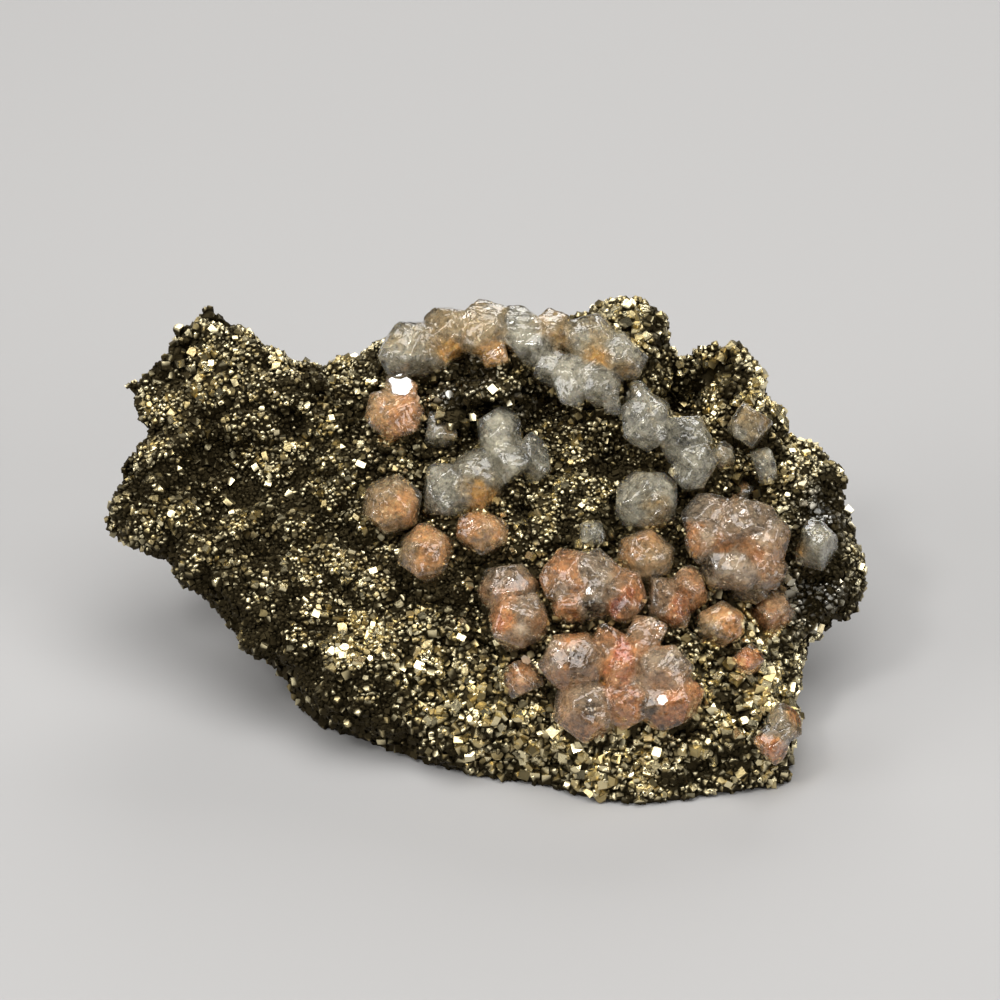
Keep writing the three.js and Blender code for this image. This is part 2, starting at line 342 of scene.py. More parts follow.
def add_remesh(obj, voxel):
    remesh = obj.modifiers.new("even_mesh", "REMESH")
    remesh.mode = "VOXEL"
    remesh.voxel_size = voxel


def add_nodes(obj, name, tree, values):
    """Puts a node tree on an object, its inputs set by their sockets' identifiers."""
    modifier = obj.modifiers.new(name, "NODES")
    modifier.node_group = tree
    for item in tree.interface.items_tree:
        if item.item_type == "SOCKET" and item.in_out == "INPUT" and item.name in values:
            modifier[item.identifier] = values[item.name]


def finish_modifiers(obj):
    """Turns an object's modifiers into a plain mesh, and gives that mesh."""
    graph = bpy.context.evaluated_depsgraph_get()
    mesh = bpy.data.meshes.new_from_object(obj.evaluated_get(graph), depsgraph=graph)
    obj.modifiers.clear()
    obj.data = mesh
    mesh.name = obj.name
    return mesh


def give_material(mesh, name):
    """Covers all of a mesh with one material."""
    mesh.materials.clear()
    mesh.materials.append(bpy.data.materials[name])
    mesh.polygons.foreach_set("material_index", [0] * len(mesh.polygons))


def keep(obj, slot, *replaced):
    """Attaches an object to the specimen's body, and hides the CAD parts that it replaces."""
    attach(obj, "root")
    if replaced:
        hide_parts(*replaced)


def vectors(rows, key):
    """The vectors that a mesh's rows hold under a key, as an array."""
    values = np.empty(len(rows) * 3, np.float32)
    rows.foreach_get(key, values)
    return values.reshape(-1, 3)


def store(mesh, name, values):
    attribute = mesh.attributes.get(name) or mesh.attributes.new(name, "FLOAT", "POINT")
    attribute.data.foreach_set("value", np.asarray(values, np.float32))


def surface(mesh):
    """A mesh's surface, on which the point nearest to another or along a ray can be found."""
    return BVHTree.FromPolygons([v.co for v in mesh.vertices], [p.vertices for p in mesh.polygons])


def cad_surface(node_name):
    """The same for a CAD node."""
    mesh = merged_copy(node_name)
    found = surface(mesh)
    bpy.data.meshes.remove(mesh)
    return found


# Materials.

# White of the veils, also used as painted highlight; dark of the cracks, also used as painted
# shade.
VEIL_AND_HIGHLIGHT_WHITE = (0.85, 0.81, 0.68, 1.0)
CRACK_AND_SHADE_DARK = (0.1, 0.08, 0.05, 1.0)


def new_material(name):
    material = bpy.data.materials.new(name)
    material.use_nodes = True
    tree = material.node_tree
    return tree, tree.nodes["Principled BSDF"]


def rgba(colour):
    return (*colour, 1.0)


def object_place(tree):
    return add(tree, "ShaderNodeTexCoord").outputs["Object"]


def stored(tree, label):
    """A number stored on the mesh, for a material."""
    return add(tree, "ShaderNodeAttribute", attribute_name=label).outputs["Fac"]


def bump(tree, height, strength, distance):
    return add(tree, "ShaderNodeBump", {
        "Height": height, "Strength": strength, "Distance": distance}).outputs["Normal"]


def tone_and_painted_shade_group():
    """Colour and roughness of pyrite, from the crystal's own tone, with painted shade where a point
    lies deep, looks down or sits in a pit or gap.
    """
    tree, get, give = new_tree(
        "tarnish", "ShaderNodeTree",
        {"Float": "Tone, Steel Share, Tip, Smoothest, Roughest",
         "Color": "Pale, Brass, Steel, Ground"},
        {"Color": "Color", "Float": "Roughness, Height"})
    place = object_place(tree)
    uneven = minus(tree, noise(tree, place, 120.0, 3.0)["Fac"], 0.5)
    steel_share = times_plus(tree, uneven, 0.5, get["Steel Share"], clamp=True)
    gold = mixed(tree, ramp_between(tree, get["Tone"], 0.1, 0.65), get["Brass"], get["Pale"])
    fresh = mixed(tree, steel_share, gold, get["Steel"])
    # Painted shade: the ground colour and a rougher face where a point lies low, looks down or sits
    # in a pit or gap.
    out_of_shade = ramp_between(tree, times_plus(tree, uneven, 0.5, get["Tip"]), 0.08, 0.7)
    put(tree, give["Color"], mixed(tree, out_of_shade, get["Ground"], fresh))
    speck = noise(tree, place, 3600.0, 2.0)["Fac"]
    wander = times_plus(tree, speck, 0.5, get["Tone"])
    rough = ramp_between(tree, wander, 0.1, 1.3, get["Roughest"], get["Smoothest"], "LINEAR")
    put(tree, give["Roughness"], blended(tree, out_of_shade, 0.6, rough))
    put(tree, give["Height"], speck)
    return tree


def pyrite_material(name, tarnish, smoothest, roughest):
    tree, shader = new_material(name)
    look = settings().pyrite
    coat = add(tree, "ShaderNodeGroup", {
        "Tone": stored(tree, "tone"), "Steel Share": stored(tree, "steel"),
        "Tip": stored(tree, "tip"), "Pale": rgba(look.pale), "Brass": rgba(look.brass),
        "Steel": rgba(look.steel), "Ground": rgba(look.ground),
        "Smoothest": smoothest, "Roughest": roughest}, node_tree=tarnish).outputs
    fill(tree, shader, {
        "Base Color": coat["Color"], "Roughness": coat["Roughness"], "Metallic": 1.0,
        "Normal": bump(tree, coat["Height"], 0.7, 0.06 * MM)})


def zoning_group():
    """Colour zones of fluorite, and the specks, threads and feathers sealed in it, with painted
    shade in the grooves and on each flat face and painted highlights on the raised edges.
    """
    tree, get, give = new_tree(
        "zoning", "ShaderNodeTree",
        {"Float": "Stain, Milk, Edge, Groove, Sector, Blotch", "Color": "Grey, Tan, Orange, Red"},
        {"Color": "Color", "Float": "Cover, White, Dark"})
    in_mm = scaled(tree, object_place(tree), 1 / MM)
    blotch = noise(tree, in_mm, over(tree, MM, get["Blotch"]), 3.0, 0.6, 0.8)["Fac"]
    grain = noise(tree, in_mm, 1.2, 4.0, 0.6, 0.6)
    warmth = swayed(tree, swayed(tree, get["Stain"], blotch, 0.9), grain["Fac"], 0.5)
    tint = get["Grey"]
    for label, low, high in (("Tan", 0.1, 0.35), ("Orange", 0.4, 0.62), ("Red", 0.72, 0.95)):
        tint = mixed(tree, ramp_between(tree, warmth, low, high), tint, get[label])

    # Fine lights and darks, painted shade in the grooves, and a painted shade of its own for the
    # part nearest each flat face.
    swirl = vector_plus(tree, in_mm, scaled(tree, grain["Color"], 0.7))
    fine = noise(tree, swirl, 1.6, 2.0, 0.6)["Fac"]
    shade = swayed(tree, times_plus(tree, get["Milk"], 0.7, 0.75), fine, 2.8)
    shade = times_plus(tree, get["Groove"], -0.6, shade)
    shade = swayed(tree, shade, get["Sector"], 0.75)
    put(tree, give["Color"], scaled(tree, tint, greatest(tree, shade, 0.25)))

    specks = cells(tree, swirl, 2.0)
    lot = add(tree, "ShaderNodeSeparateColor", {"Color": specks["Color"]}).outputs["Red"]
    near = ramp_between(tree, specks["Distance"], 0.22, 0.42, 1.0, 0.0)
    bright = times(tree, near, math_node("GREATER_THAN", tree, lot, 0.88))
    dark = times(tree, near, math_node("LESS_THAN", tree, lot, 0.2))

    # Feathers: in each cell fine lines run side by side, in a direction of the cell's own.
    across = dot_product(tree, in_mm, cell_direction(tree, cells(tree, in_mm, 0.75)))
    bent = times_plus(tree, grain["Fac"], 0.55, across)
    lines = add(tree, "ShaderNodeTexNoise", {"W": bent, "Scale": 4.0, "Detail": 1.5},
                noise_dimensions="1D").outputs["Fac"]
    patch = ramp_between(tree, blotch, 0.48, 0.64)
    feathers = times(tree, times(tree, ramp_between(tree, lines, 0.53, 0.66), patch), 0.5)
    gaps = ramp_between(tree, lines, 0.34, 0.44, 1.0, 0.0)
    gaps = times(tree, times(tree, gaps, patch), 0.5)

    # Threads run where a noise passes through its middle level.
    strands = noise(tree, in_mm, 0.7, 2.5, 0.55, 1.4)["Fac"]
    off_middle = math_node("ABSOLUTE", tree, minus(tree, strands, 0.5))
    thread = times(tree, ramp_between(tree, off_middle, 0.004, 0.03, 1.0, 0.0),
                   ramp_between(tree, grain["Fac"], 0.42, 0.56))
    white = greatest(tree, feathers, times(tree, thread, 0.6))
    # The raised edges get a painted highlight, drawn in white.
    white = times(tree, greatest(tree, white, get["Edge"]),
                  times_plus(tree, get["Milk"], 0.6, 0.5))
    put(tree, give["White"], greatest(tree, white, bright))
    # Painted shade darkens the grooves.
    groove_shade = times(tree, get["Groove"], 0.7)
    put(tree, give["Dark"], greatest(tree, groove_shade, greatest(tree, gaps, dark)))
    cloud = times_plus(tree, grain["Fac"], 0.9, times(tree, get["Stain"], 0.5))
    cloud = times_plus(tree, get["Milk"], 0.7, cloud)
    put(tree, give["Cover"], ramp_between(tree, cloud, 0.45, 1.25))
    return tree


def chips_group():
    """The etched skin of a crystal: small chips that tilt every way, and grain."""
    tree, get, give = new_tree(
        "chips", "ShaderNodeTree",
        {"Float": "Chip, Smoothest, Roughest"}, {"Float": "Height, Roughness"})
    in_mm = scaled(tree, object_place(tree), 1 / MM)
    bent = noise(tree, in_mm, 1.1, 2.0)["Color"]
    wavy = vector_plus(tree, in_mm, scaled(tree, bent, 0.6))
    tilt = cell_slope(tree, wavy, cells(tree, wavy, over(tree, MM, get["Chip"])))
    grain = noise(tree, in_mm, 5.0, 4.0)["Fac"]
    put(tree, give["Height"], times_plus(tree, grain, 0.012, tilt))
    put(tree, give["Roughness"], ramp_between(
        tree, grain, 0.35, 0.65, get["Smoothest"], get["Roughest"], "LINEAR"))
    return tree


def zoned(tree, zoning, palette, blotch):
    """The zoning group placed in a material with its palette."""
    marks = {label: stored(tree, label.lower())
             for label in ("Stain", "Milk", "Edge", "Groove", "Sector")}
    return add(tree, "ShaderNodeGroup", {**marks, **palette, "Blotch": blotch},
               node_tree=zoning).outputs


def veined(tree, zones, strength):
    """The zones' colour with their white threads and dark specks drawn over it, together with
    painted highlights on raised edges and painted shade in grooves.
    """
    darkened = mixed(tree, times(tree, zones["Dark"], strength), zones["Color"], CRACK_AND_SHADE_DARK)
    return mixed(tree, times(tree, zones["White"], strength), darkened, VEIL_AND_HIGHLIGHT_WHITE)


def fluorite_material(name, zoning, chips, palette, absorbed):
    tree, shader = new_material(name)
    zones = zoned(tree, zoning, palette, 1.8 * MM)
    skin = add(tree, "ShaderNodeGroup", {
        "Chip": 1.15 * MM, "Smoothest": 0.02, "Roughest": 0.12}, node_tree=chips).outputs
    unpolished = minus(tree, 1.0, stored(tree, "window"))
    normal = bump(tree, times(tree, skin["Height"], unpolished), 0.95, 0.45 * MM)
    fill(tree, shader, {
        "Base Color": veined(tree, zones, 0.55),
        "Roughness": times(tree, skin["Roughness"], unpolished),
        "Metallic": 0.0, "Transmission Weight": 0.88, "IOR": settings().fluorite.ior,
        "Normal": normal, "Coat Normal": normal, "Coat Weight": 1.0, "Coat Roughness": 0.025,
        "Subsurface Weight": 0.35, "Subsurface Radius": (1.0, 0.7, 0.5),
        "Subsurface Scale": 0.12 * MM})
    # Lamps shine straight in, so that what is sealed inside is lit.
    clear = add(tree, "ShaderNodeBsdfTransparent", {"Color": rgba((0.9, 0.88, 0.84))})
    either = add(tree, "ShaderNodeMixShader", {
        "Fac": add(tree, "ShaderNodeLightPath").outputs["Is Shadow Ray"],
        1: shader.outputs["BSDF"], 2: clear.outputs["BSDF"]})
    volume = add(tree, "ShaderNodeVolumeAbsorption", {"Color": rgba(absorbed), "Density": 120.0})
    fill(tree, tree.nodes["Material Output"], {
        "Surface": either.outputs["Shader"], "Volume": volume.outputs["Volume"]})


def cloud_material(name, zoning, palette, blotch, thin, thick):
    """Grains sealed in a crystal, thickest where it is warmest, and white feathers among them."""
    tree, shader = new_material(name)
    zones = zoned(tree, zoning, palette, blotch)
    cover = times_plus(tree, zones["Cover"], thick - thin, thin)
    drawn = greatest(tree, zones["White"], times(tree, zones["Dark"], 0.6))
    fill(tree, shader, {
        "Base Color": veined(tree, zones, 1.0), "Roughness": 0.45,
        "Alpha": greatest(tree, cover, times(tree, drawn, 0.9))})


def plate_material(name, zoning, palette):
    """A thin sheet of bright reflection where a crystal has cleaved."""
    tree, shader = new_material(name)
    zones = zoned(tree, zoning, palette, 1.3 * MM)
    fill(tree, shader, {
        "Base Color": mixed(tree, 0.35, zones["Color"], VEIL_AND_HIGHLIGHT_WHITE),
        "Roughness": 0.12, "Alpha": 0.45})


class SPECIMEN_OT_materials(bpy.types.Operator):
    """Make the finishes of the pyrite, the fluorite and what is sealed in it"""
    bl_idname = "specimen.materials"
    bl_label = "Finishes"

    def execute(self, context):
        tarnish = tone_and_painted_shade_group()
        pyrite_material("pyrite_crystals", tarnish, 0.2, 0.36)
        # The ground's finish: dull, with painted shade from the ground colour.
        pyrite_material("pyrite_dull", tarnish, 0.4, 0.6)
        zoning = zoning_group()
        chips = chips_group()
        for slot, grey, tan, orange, red, absorbed in (
            ("fluorite_grey", (0.51, 0.49, 0.42), (0.54, 0.44, 0.29), (0.76, 0.48, 0.19),
             (0.58, 0.32, 0.18), (0.8, 0.79, 0.72)),
            ("fluorite_orange", (0.48, 0.43, 0.34), (0.53, 0.4, 0.25), (0.74, 0.46, 0.24),
             (0.6, 0.28, 0.14), (0.84, 0.73, 0.6)),
            ("fluorite_pink", (0.47, 0.39, 0.3), (0.52, 0.37, 0.24), (0.68, 0.4, 0.21),
             (0.55, 0.21, 0.11), (0.83, 0.71, 0.58)),
        ):
            palette = {"Grey": rgba(grey), "Tan": rgba(tan), "Orange": rgba(orange),
                       "Red": rgba(red)}
            fluorite_material("clear_" + slot, zoning, chips, palette, absorbed)
            cloud_material(slot + "_veil", zoning, palette, 1.3 * MM, 0.06, 0.4)
            cloud_material(slot + "_core", zoning, palette, 2.2 * MM, 0.05, 0.7)
            plate_material(slot + "_plate", zoning, palette)
        return {"FINISHED"}


# Places on the face.
#
# Each spot has, in millimetres, how far right of the face's middle it is, how far up, and its
# reach. These are the ones where the crust is coarsest.
COARSE_SPOTS = [
    (30, -27, 11), (12, -33, 13), (-2, -30, 10), (31, 15, 7), (16, 23, 6), (32, -16, 7),
    (-8, -21, 5), (-18, -18, 3.5), (-35, 16, 3.5),
]

# Where the pyrite is silvery.
STEEL_SPOTS = [(-3.2, 16.4, 3.4), (2.5, 12, 2.6), (-6.5, 13, 2), (39, -2, 5), (38, -12, 6)]

# Pits between the knots of crystals, sunk into the ground and darkened with painted shade.
PITS = [
    (-34.5, 5, 2.4), (-31, 2, 2), (-25, 9.5, 1.8), (3.8, 11.5, 2), (13.5, 5, 1.3), (3, -0.5, 1.4),
    (-2.6, 8.5, 1.2), (-19, -4.5, 1.5), (-29, -6, 1.7), (28, -26.5, 1.8), (22, -29, 1.8),
    (27, 16.8, 1.4),
]

# Where the crust turns under to the worn edge: dull, and darkened with painted shade of the
# underside.
DULL_AND_SHADED_SPOTS = [
    (-40, -8.5, 2.6), (-36, -11.5, 3), (-32, -14.5, 3.2), (-28.5, -18, 3.4), (-25, -22, 3.6),
    (-21, -26, 3.6), (-16.5, -29, 3.4), (-12, -31.5, 3), (20, 24, 2.5), (-6, -33, 2.6),
]

# Where the crystals are clearest, so that the dark rock shows through.
CLEAR_SPOTS = [
    (21.5, 8.4, 1.6), (25.2, -8, 1.1), (17.8, -26.2, 1), (11, -13.6, 1), (16.4, 11, 1.1),
    (4, 6, 1.6), (22, -1.2, 1.2), (14.4, -13, 1), (10.8, -26.8, 1), (9.2, -20.4, 1.4),
]

# Where they are milky.
MILKY_SPOTS = [
    (24.9, -4.8, 1), (0.2, 9.8, 1.5), (1.2, 4.2, 1.4), (2.4, -16.4, 1), (16, -2.4, 1.1),
    (8.6, 15.6, 2.4), (-9.8, -7.6, 0.8), (28.4, -8.6, 1.6), (32, -4.8, 1), (19.2, -18, 0.9),
    (0, 7, 1.8), (3, 21, 2), (26.6, -15.6, 1.8), (32.4, -14, 1.6), (18, -7.4, 2),
    (23.6, -5.6, 2.2), (29.4, -20.6, 1), (2.6, -22.4, 1.2),
]

# Colour zones of the crystals, each with how warm it is as well, from 0 for clear grey over 0.3
# for tan and 0.6 for orange to 1 for red.
ZONES = [
    (-10.5, 20.5, 2.2, 0.22), (-11, 17.5, 1.8, 0.12), (-8, 20.5, 1.8, 0.35),
    (-6.3, 19.2, 1.3, 0.68), (-5.8, 22.2, 1.8, 0.33), (-9, 17, 1.5, 0.18), (-2.5, 22, 2, 0.36),
    (-1.2, 23.5, 1.6, 0.3), (0.2, 21.5, 1.2, 0.3), (-1.3, 19.4, 1.2, 0.66), (0, 18.8, 1, 0.72),
    (-0.8, 17.8, 1, 0.55), (2.5, 21.5, 1.8, 0.02), (4.6, 19.2, 1.6, 0), (3.8, 17.5, 1.2, 0.05),
    (6, 22, 1.8, 0.42), (7.5, 19.8, 1, 0.5), (10, 21.2, 1.8, 0.18), (11.5, 20.2, 1.5, 0.3),
    (11.5, 18.8, 1.2, 0.58), (13, 17.9, 1, 0.62), (14.5, 19, 1.8, 0.08), (15, 17, 1, 0.5),
    (16, 18, 1, 0.15), (6.5, 16.6, 1.6, 0), (8.8, 15, 2, 0), (11.8, 14.8, 1.8, 0.05),
    (13.6, 12.4, 1.2, 0.1), (16.4, 13.4, 1.2, 0.1), (16.5, 11, 1.5, 0), (18.5, 11.5, 1.5, 0.1),
    (17, 8, 1.5, 0.08), (21.5, 8.4, 1.8, 0), (23.5, 7, 1.5, 0), (23.2, 4, 1.8, 0.02),
    (26.2, 5.4, 1, 0.2), (-11.7, 15.1, 1, 0.1), (-13.3, 14, 1, 0.4), (-10, 14.5, 1.2, 0.7),
    (-11, 12.5, 1.2, 0.75), (-13.8, 12, 1.4, 0.5), (-12, 10.5, 1.6, 0.7), (-14.5, 10.5, 1.2, 0.45),
    (-7.6, 9, 1.4, 0.1), (-6.4, 8.8, 0.7, 0.5), (0.2, 9.8, 1.4, 0), (0, 7.2, 1.5, 0.02),
    (1, 4.4, 1.5, 0), (3.6, 6.4, 1.5, 0.05), (4.6, 3.5, 1.2, 0.05), (-6.8, 2.2, 1.8, 0.03),
    (-6, -0.4, 1.6, 0.06), (-3.5, 4.6, 1.5, 0.1), (-2.7, 1.1, 1.3, 0.62), (-4.4, 1.6, 1.2, 0.35),
    (-1, 3, 1, 0.2), (-13.2, -1.2, 1.5, 0.6), (-13.8, 1.2, 1.5, 0.3), (-15, -1, 1, 0.35),
    (-12, -0.3, 1.1, 0.6), (-13, -3, 1, 0.35), (-8.7, -5, 1.2, 0.6), (-9, -7.2, 1.5, 0.55),
    (-10.8, -7, 1.1, 0.35), (-8, -8.8, 1, 0.5), (-3.6, -3, 1.3, 0.72), (-1.5, -4.5, 1.4, 0.45),
    (-0.3, -3.6, 0.8, 0.55), (11, -4.2, 1.4, 0), (17.6, 2.6, 1.8, 0.14), (20.4, 2, 1.6, 0.1),
    (18.6, -1.2, 1.5, 0.33), (16, -2.4, 1.3, 0.02), (16, 0, 1.3, 0.12), (16.2, -6.2, 1.1, 0.5),
    (18.5, -7.2, 1.7, 0.32), (18, -4.4, 1.4, 0.55), (19.5, -9.3, 1.2, 0.25), (21, -6.5, 1.2, 0.3),
    (26.3, 2.6, 1.2, 0.75), (28.4, 1.4, 1, 0.6), (26.9, 3.8, 0.8, 0.6), (29.6, 0.6, 0.8, 0.1),
    (29.8, 10.2, 1.4, 0.38), (28.8, 8.6, 1.1, 0.12), (30.3, 8.4, 1, 0.3), (31, 4.5, 1.6, 0.1),
    (22, -1.2, 1.2, 0.02), (24, -1.2, 1.3, 0.03), (26, -1.3, 1.4, 0.22), (28.5, -2.6, 1.8, 0.2),
    (31.2, -2.6, 1.6, 0.16), (23.2, -4, 1.1, 0.62), (24.9, -4.8, 0.9, 0.1), (23.6, -6, 1, 0.55),
    (26.4, -5.7, 1, 0.6), (32.2, -4.8, 1.2, 0.12), (33.4, -5.6, 1, 0.45), (29.6, -5.6, 1.1, 0.5),
    (28.6, -8.6, 1.7, 0), (25.4, -8, 1.2, 0), (30.8, -7.2, 0.8, 0.75), (32.4, -8.4, 1.3, 0.45),
    (29.8, -11, 1.5, 0.15), (38, -5, 1.6, 0.05), (35.8, -5.6, 1, 0.55), (0.5, -9.8, 1.5, 0.18),
    (1.2, -11.8, 1.4, 0.58), (-1.2, -12, 1.2, 0.45), (3.2, -13.2, 1.2, 0.15),
    (2.4, -16.4, 1.2, 0.02), (1.2, -15.6, 0.9, 0.8), (4.2, -15.4, 1.2, 0.5), (2, -17.8, 1.1, 0.4),
    (8, -8.6, 1.4, 0.62), (6.4, -10, 1.2, 0.55), (7.4, -11.2, 1, 0.2), (9.4, -11.2, 1.1, 0.55),
    (11.5, -9, 1.6, 0.1), (12.4, -11.4, 1.5, 0.12), (8.3, -13.7, 1, 0.7), (11, -13.4, 1.3, 0.03),
    (14.6, -9.6, 1.2, 0.5), (15.8, -12, 1, 0.8), (14, -13.4, 1, 0.95), (15.2, -14.2, 0.7, 0.4),
    (19.4, -11.6, 1.5, 0.3), (19.2, -13.6, 1, 0.25), (22.4, -9.8, 1.2, 0.5), (22.8, -12, 1.2, 0.64),
    (23, -13.2, 0.8, 0.8), (21.2, -12.8, 0.7, 0.9), (20.6, -15, 1.1, 0.78), (26.6, -14.6, 1.2, 0.5),
    (27.6, -15.8, 1.1, 0.68), (25.6, -16.6, 1.1, 0.3), (26.4, -17.4, 1, 0.45),
    (32.4, -14, 1.5, 0.5), (33.8, -13, 1, 0.35), (31.6, -15, 1, 0.6), (29.8, -20.4, 1.2, 0.85),
    (28.8, -21.2, 0.6, 0.4), (8.8, -16.8, 1.5, 0.75), (12.4, -17.4, 1, 0.6),
    (12.9, -18.8, 0.9, 0.4), (7, -19.4, 1.4, 0.3), (10, -19, 1.3, 0.25), (9.5, -21.6, 1.4, 0.4),
    (7.6, -22.4, 1, 0.55), (14.6, -19, 1.1, 0.95), (14.4, -21.6, 1.2, 0.8), (13.6, -23.5, 1, 0.65),
    (17, -16.6, 1.3, 0.4), (19.4, -18, 1, 0.48), (16.6, -18.8, 1, 0.65), (18.6, -20.6, 1.4, 0.08),
    (21.8, -20.6, 1.1, 0.12), (19, -22.6, 1.5, 0.45), (17, -22.8, 1, 0.2), (21.6, -23, 1, 0.4),
    (22.8, -24.6, 1.2, 0.72), (20.6, -26.6, 1.4, 0.74), (18, -26.2, 1, 0.25), (18.6, -28.2, 1, 0.6),
    (15.4, -25.6, 1.3, 0.74), (14.5, -27.2, 1.1, 0.6), (10.4, -25, 1.4, 0.14),
    (8.4, -26.6, 1.3, 0.36), (10.4, -28.4, 1.3, 0.5), (12.6, -27.6, 1.2, 0.3),
    (11.6, -29.6, 1, 0.65), (2.2, -21.8, 1, 0.6), (3.2, -23, 1, 0.45), (33.6, -28.6, 1.2, 0.12),
    (35.6, -27.4, 0.9, 0.85), (32.8, -31.5, 1.1, 0.85), (34.6, -29.6, 0.9, 0.25),
]

# Large flat faces that catch the light, each with half its width instead of a reach, and the
# direction that it looks in.
WINDOWS = [
    (-11.9, 14.8, 1.5, (-0.191, -0.673, 0.714)),
    (19.5, -25.4, 0.75, (-0.243, -0.613, 0.752)),
    (10.8, -25.4, 0.35, (-0.229, -0.614, 0.755)),
    (16.6, 13.5, 0.35, (-0.242, -0.664, 0.708)),
    (12.2, -9.4, 0.25, (-0.233, -0.635, 0.737)),
]


def on_face(points):
    """Where points lie across the face and up it, seen from the front."""
    away = points - FACE_MIDDLE
    closer = SIGHT_DISTANCE / (SIGHT_DISTANCE + away @ SIGHT)
    return away[:, 0] * closer, away @ SIGHT_UP * closer / (SIGHT_UP @ FACE_UP)


def nearness(points, spots):
    """How close points are to the nearest of some spots on the face: 1 inside, 0 outside."""
    across, up = on_face(points)
    near = np.zeros(len(points))
    for x, y, reach in spots:
        away = np.hypot(across - x * MM, up - y * MM) / (reach * MM)
        near = np.maximum(near, np.clip(1.3 - away, 0, 1))
    return near


def stains(points):
    """How warm the colour is at points, blended between the zones nearest to them."""
    usual = 0.3
    across, up = on_face(points)
    total = np.full(len(points), 1e-6)
    warm = total * usual
    for x, y, reach, level in ZONES:
        away = np.hypot(across - x * MM, up - y * MM) / (reach * MM)
        weight = np.exp(-1.6 * away ** 2)
        total += weight
        warm += weight * level
    return warm / total


# The ground under the crust.

def relief_tree():
    """Sinks the ground into knots and pits, lifts the sockets' walls into their crystals, and
    stores painted shade for the pits, the underside band and the gaps between the knots.
    """
    pit_depth = 3.4 * MM
    most_of_wall = 0.35
    tree, get, give = new_tree(
        "lump_relief", "GeometryNodeTree",
        {"Geometry": "Geometry", "Float": "Cluster Size, Cluster Depth, Inset, Root Depth"},
        {"Geometry": "Geometry"})
    place = add(tree, "GeometryNodeInputPosition").outputs[0]
    normal = add(tree, "GeometryNodeInputNormal").outputs[0]
    knots = add(tree, "ShaderNodeTexVoronoi", {
        "Vector": place, "Scale": over(tree, 1.0, get["Cluster Size"]),
        "Smoothness": 0.25}, feature="SMOOTH_F1")
    gap = ramp_between(tree, knots.outputs["Distance"], 0.3, 0.75)
    uneven = times_plus(tree, noise(tree, place, 900.0, 3.0)["Fac"], 0.5, gap)
    depth = times_plus(tree, uneven, get["Cluster Depth"], get["Inset"])
    depth = times_plus(tree, named(tree, "pit"), pit_depth, depth)
    depth = math_node("MINIMUM", tree, depth,
                      times(tree, named(tree, "thickness"), most_of_wall))
    lifted = times(tree, get["Root Depth"], -1.0)
    depth = blended(tree, named(tree, "socket"), depth, lifted)
    off_base = ramp_between(tree, component(tree, place, "Z"), 0.3 * MM, 2.5 * MM)
    inward = scaled(tree, normal, times(tree, depth, off_base))
    sunk = moved(tree, get["Geometry"], scaled(tree, inward, -1.0))
    # Painted shade: darker in the pits, along the underside band and in the gaps between the knots.
    dark = plus(tree, named(tree, "pit"), named(tree, "dull"))
    dark = plus(tree, dark, times(tree, gap, 0.6), clamp=True)
    put(tree, give["Geometry"], marked(tree, sunk, "shade", dark))
    return tree


def under_fluorite(points):
    """Which points lie right under a fluorite crystal, in the socket that it grew in."""
    reach = 0.55 * MM
    outward = Vector(FACE_OUT)
    under = np.zeros(len(points), bool)
    for name in FLUORITE_NODES:
        crystal = cad_surface(name)
        low, high = (np.array(corner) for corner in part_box(name))
        close = np.all((points > low - reach) & (points < high + reach), axis=1)
        for index in np.nonzero(close)[0]:
            point = Vector(points[index])
            if crystal.find_nearest(point, reach)[0] and crystal.ray_cast(point, outward)[0]:
                under[index] = True
    return under


def thickness(mesh):
    """How thick the rock is behind each point of its surface, to no more than 8 mm."""
    rock = surface(mesh)
    most = 8 * MM
    depths = []
    for vertex in mesh.vertices:
        start = vertex.co - vertex.normal * (0.05 * MM)
        depth = rock.ray_cast(start, -vertex.normal, most)[3]
        depths.append(most if depth is None else depth)
    return np.array(depths)


